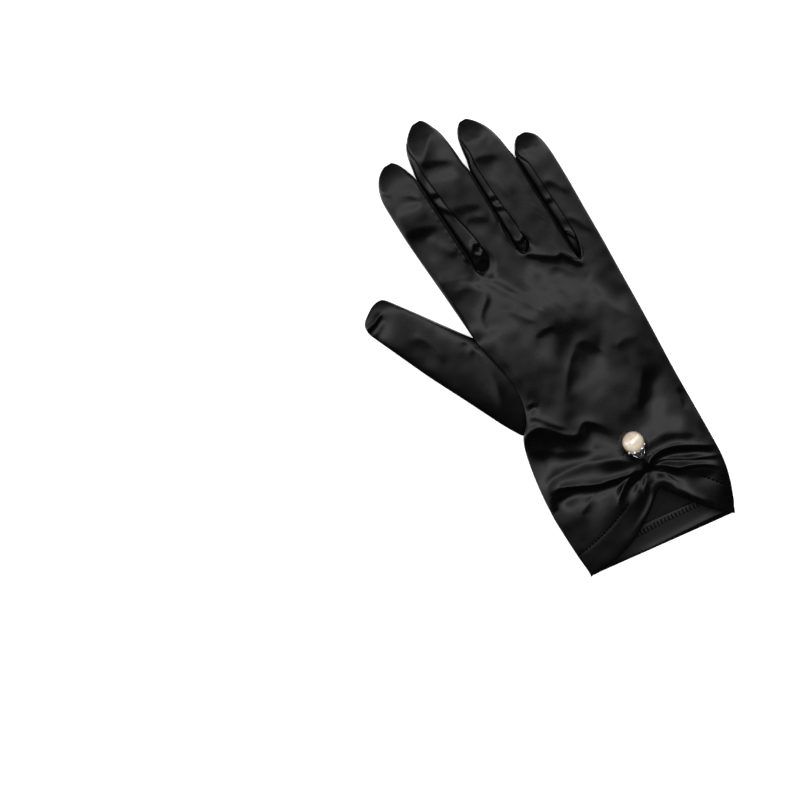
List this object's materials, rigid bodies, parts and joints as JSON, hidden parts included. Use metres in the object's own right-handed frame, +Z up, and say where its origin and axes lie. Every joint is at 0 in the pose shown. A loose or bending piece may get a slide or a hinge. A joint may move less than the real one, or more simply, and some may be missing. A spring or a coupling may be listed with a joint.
{
  "type": "wrist length dress glove",
  "caption": "Right-hand dress glove of black satin, hollow, with fourchettes between the fingers, a set-in thumb, and a cuff gathered at the back under a hanging pearl",
  "frame": {"origin": "under the middle of the glove's bounding box, on the surface that it lies on", "axes": "+X towards the little-finger side, +Y from the cuff to the fingertips, +Z up out of the back of the hand"},
  "size_m": [0.1154, 0.2284, 0.0228],
  "materials": {
    "satin": "black satin with a soft sheen, woven, its folds catching the light",
    "satin_inside": "duller back face of the black satin, with an overlocked edge",
    "thread": "matt black sewing thread",
    "pearl": "cream imitation pearl with a nacre lustre",
    "silver": "bright silver-plated, darker in its piercings"
  },
  "bodies": {
    "root": {"back_panel": "satin", "palm_panel": "satin", "back_hem": "satin_inside", "palm_hem": "satin_inside", "thumb": "satin", "fourchette_index_middle": "satin", "fourchette_middle_ring": "satin", "fourchette_ring_little": "satin", "knot": "thread", "pearl": "pearl", "pearl_thread": "thread", "pearl_cap": "silver"}
  },
  "joints": []
}
